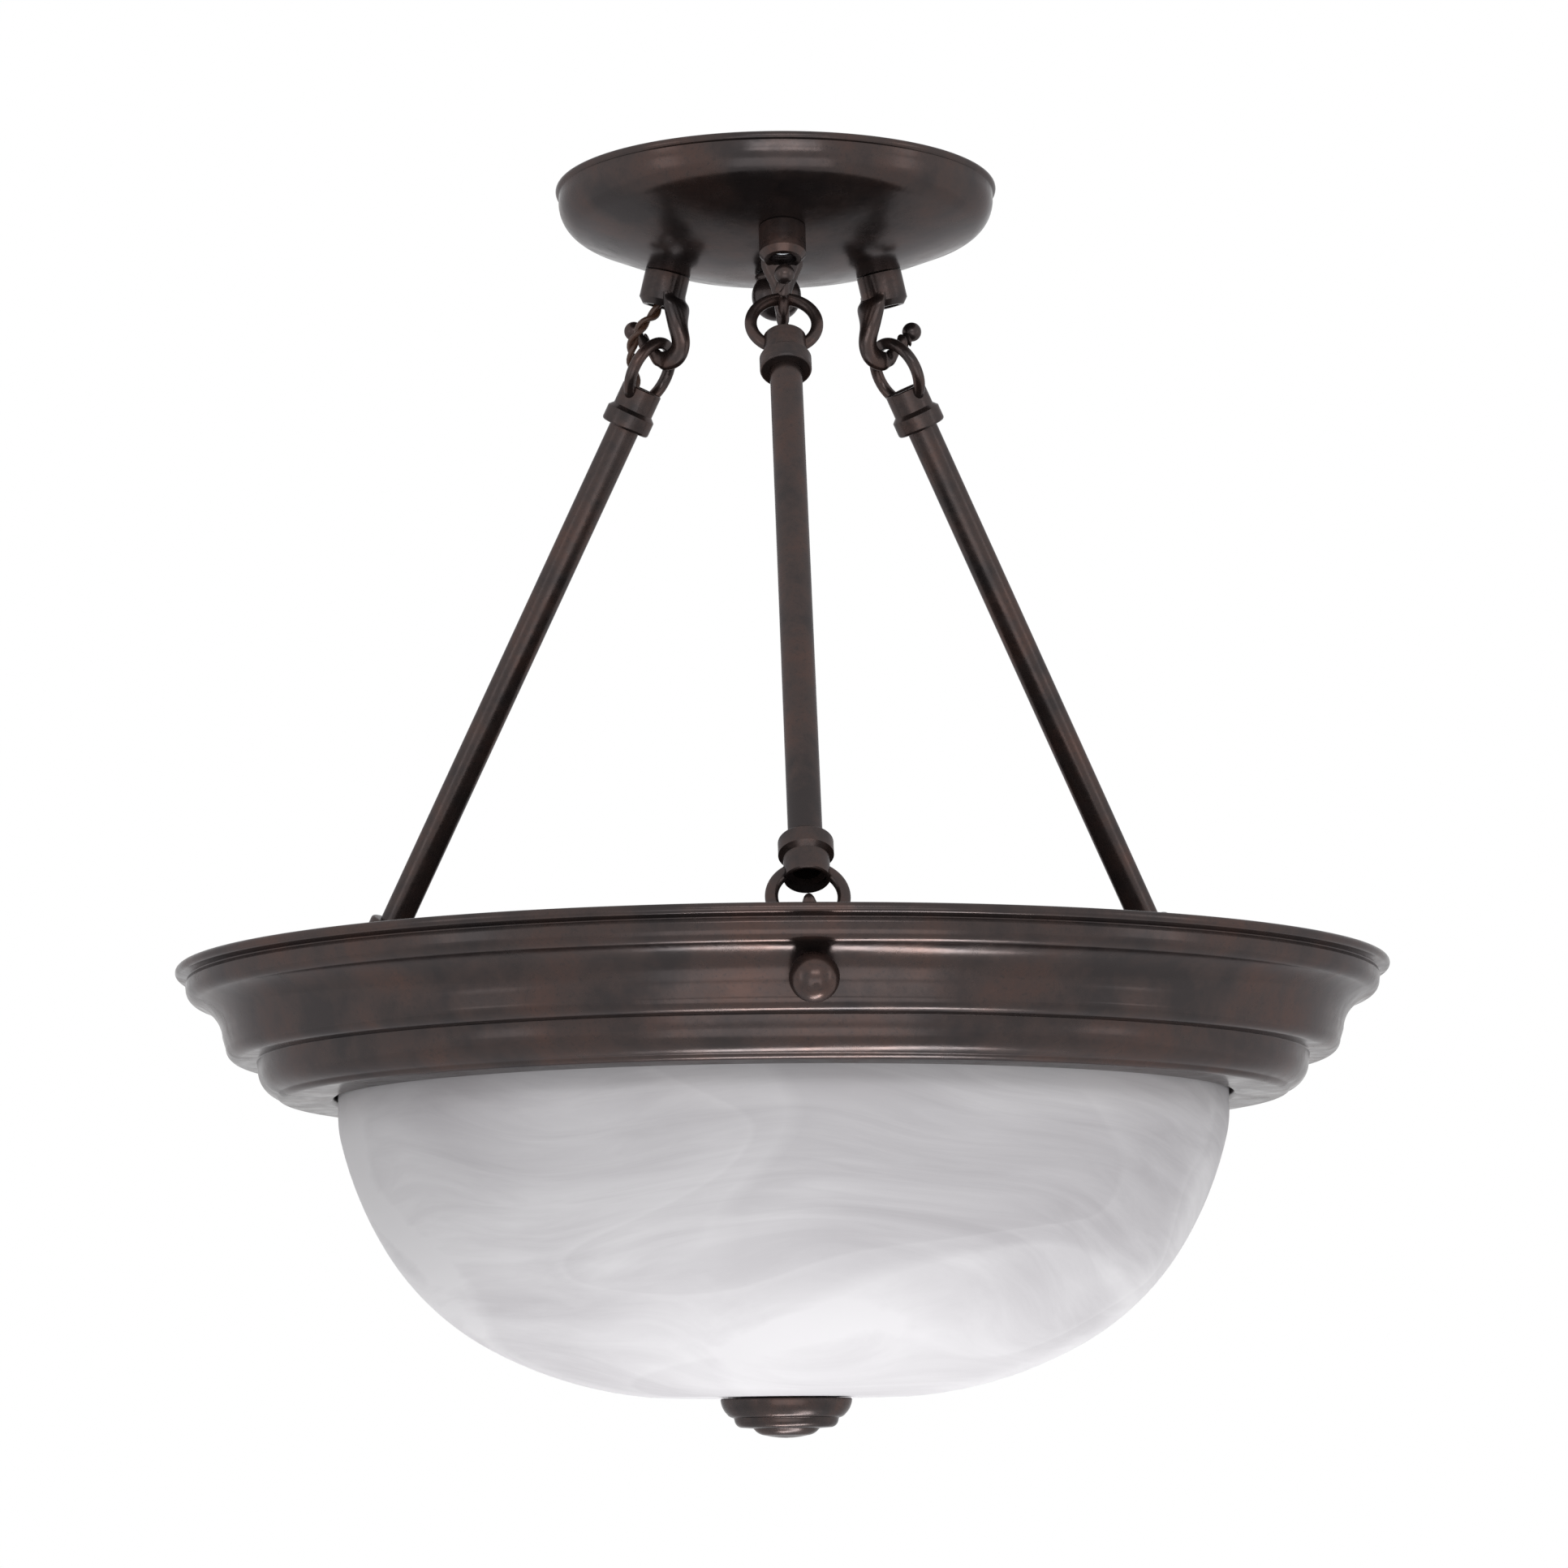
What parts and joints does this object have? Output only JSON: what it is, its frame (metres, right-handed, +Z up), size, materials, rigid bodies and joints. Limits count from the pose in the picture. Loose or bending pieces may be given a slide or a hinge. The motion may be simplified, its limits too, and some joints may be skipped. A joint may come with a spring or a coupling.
{
  "type": "semi flush ceiling light",
  "caption": "Semi flush ceiling light: domed canopy with hooks, leaning rods on ring loops, stepped bronze pan, alabaster style glass bowl on a turned finial, with lamps inside",
  "frame": {"origin": "middle of the canopy's ceiling face, midway between the crossbar's two slots", "axes": "+Z up into the ceiling, -Y towards the front arm, +X to the right along the crossbar"},
  "size_m": [0.3874, 0.3874, 0.4066],
  "materials": {
    "bronze_sheet": "satin",
    "bronze_cast": "satin",
    "bronze_turned": "satin",
    "zinc_steel": "satin",
    "ground_green": "gloss",
    "lead_jacket": "matte",
    "connector_orange": "matte",
    "holder_black": "gloss",
    "brass_shell": "polished",
    "grommet_black": "matte",
    "lamp_cap_metal": "satin",
    "lamp_glass_frosted": "frosted",
    "alabaster_glass": "satin"
  },
  "bodies": {
    "canopy": {"crossbar": "zinc_steel", "ground_screw": "ground_green", "centre_nipple": "zinc_steel", "crossbar_nut": "zinc_steel", "canopy": "bronze_sheet", "hook_nipples": "zinc_steel", "hook_nuts": "zinc_steel", "ceiling_hook_front": "bronze_cast", "ceiling_hook_right": "bronze_cast", "ceiling_hook_left": "bronze_cast", "canopy_lead": "lead_jacket", "canopy_connectors": "connector_orange"},
    "knob": {"canopy_knob": "bronze_turned"},
    "pan": {"pan": "bronze_sheet", "pan_knobs": "bronze_turned", "grommet": "grommet_black", "pan_lead": "lead_jacket", "centre_stem": "zinc_steel", "stem_nuts": "zinc_steel", "holder_bracket": "zinc_steel", "pan_hook_front": "bronze_cast", "pan_hook_right": "bronze_cast", "pan_hook_left": "bronze_cast", "lamp_holder_rear": "holder_black", "lamp_holder_right": "holder_black", "lamp_holder_left": "holder_black", "holder_shells": "brass_shell", "holder_contacts": "brass_shell", "holder_leads": "lead_jacket", "pan_connectors": "connector_orange"},
    "glass": {"glass_bowl": "alabaster_glass", "glass_washer": "grommet_black"},
    "finial": {"finial": "bronze_turned"},
    "arm_front": {"upper_loop_front": "bronze_cast", "rod_front": "bronze_turned", "lower_loop_front": "bronze_cast"},
    "arm_right": {"upper_loop_right": "bronze_cast", "rod_right": "bronze_turned", "lower_loop_right": "bronze_cast"},
    "arm_left": {"upper_loop_left": "bronze_cast", "rod_left": "bronze_turned", "lower_loop_left": "bronze_cast", "arm_lead": "lead_jacket"},
    "lamp_rear": {"lamp_cap_rear": "lamp_cap_metal", "lamp_glass_rear": "lamp_glass_frosted"},
    "lamp_right": {"lamp_cap_right": "lamp_cap_metal", "lamp_glass_right": "lamp_glass_frosted"},
    "lamp_left": {"lamp_cap_left": "lamp_cap_metal", "lamp_glass_left": "lamp_glass_frosted"}
  },
  "joints": [
    {"name": "knob_turn", "type": "hinge", "parent": "canopy", "child": "knob", "pos_m": [0, 0, -0.036], "axis": [0, 0, 1], "continuous": true},
    {"name": "pan_swing", "type": "hinge", "parent": "canopy", "child": "pan", "pos_m": [0, 0, 0.02898], "axis": [1, 0, 0], "range_deg": [-2.95, 2.95]},
    {"name": "arm_front_swing", "type": "hinge", "parent": "canopy", "child": "arm_front", "pos_m": [0, -0.0422, -0.04715], "axis": [1, 0, 0], "range_deg": [-4, 4]},
    {"name": "arm_right_swing", "type": "hinge", "parent": "canopy", "child": "arm_right", "pos_m": [0.03655, 0.0211, -0.04715], "axis": [1, 0, 0], "range_deg": [-4, 4]},
    {"name": "arm_left_swing", "type": "hinge", "parent": "canopy", "child": "arm_left", "pos_m": [-0.03655, 0.0211, -0.04715], "axis": [1, 0, 0], "range_deg": [-4, 4]},
    {"name": "glass_lower", "type": "slide", "parent": "pan", "child": "glass", "axis": [0, 0, -1], "range_m": [0, 0.065]},
    {"name": "finial_turn", "type": "hinge", "parent": "glass", "child": "finial", "pos_m": [0, 0, -0.3997], "axis": [0, 0, 1], "continuous": true},
    {"name": "lamp_rear_turn", "type": "hinge", "parent": "pan", "child": "lamp_rear", "pos_m": [0, 0.07, -0.3257], "axis": [0, 1, 0], "continuous": true},
    {"name": "lamp_right_turn", "type": "hinge", "parent": "pan", "child": "lamp_right", "pos_m": [0.06062, -0.035, -0.3257], "axis": [0.866, -0.5, 0], "continuous": true},
    {"name": "lamp_left_turn", "type": "hinge", "parent": "pan", "child": "lamp_left", "pos_m": [-0.06062, -0.035, -0.3257], "axis": [-0.866, -0.5, 0], "continuous": true}
  ],
  "couplings": [
    {"joint": "arm_front_swing", "follows": "pan_swing", "ratio": 1.3556},
    {"joint": "arm_right_swing", "follows": "pan_swing", "ratio": 1.3556},
    {"joint": "arm_left_swing", "follows": "pan_swing", "ratio": 1.3556}
  ]
}
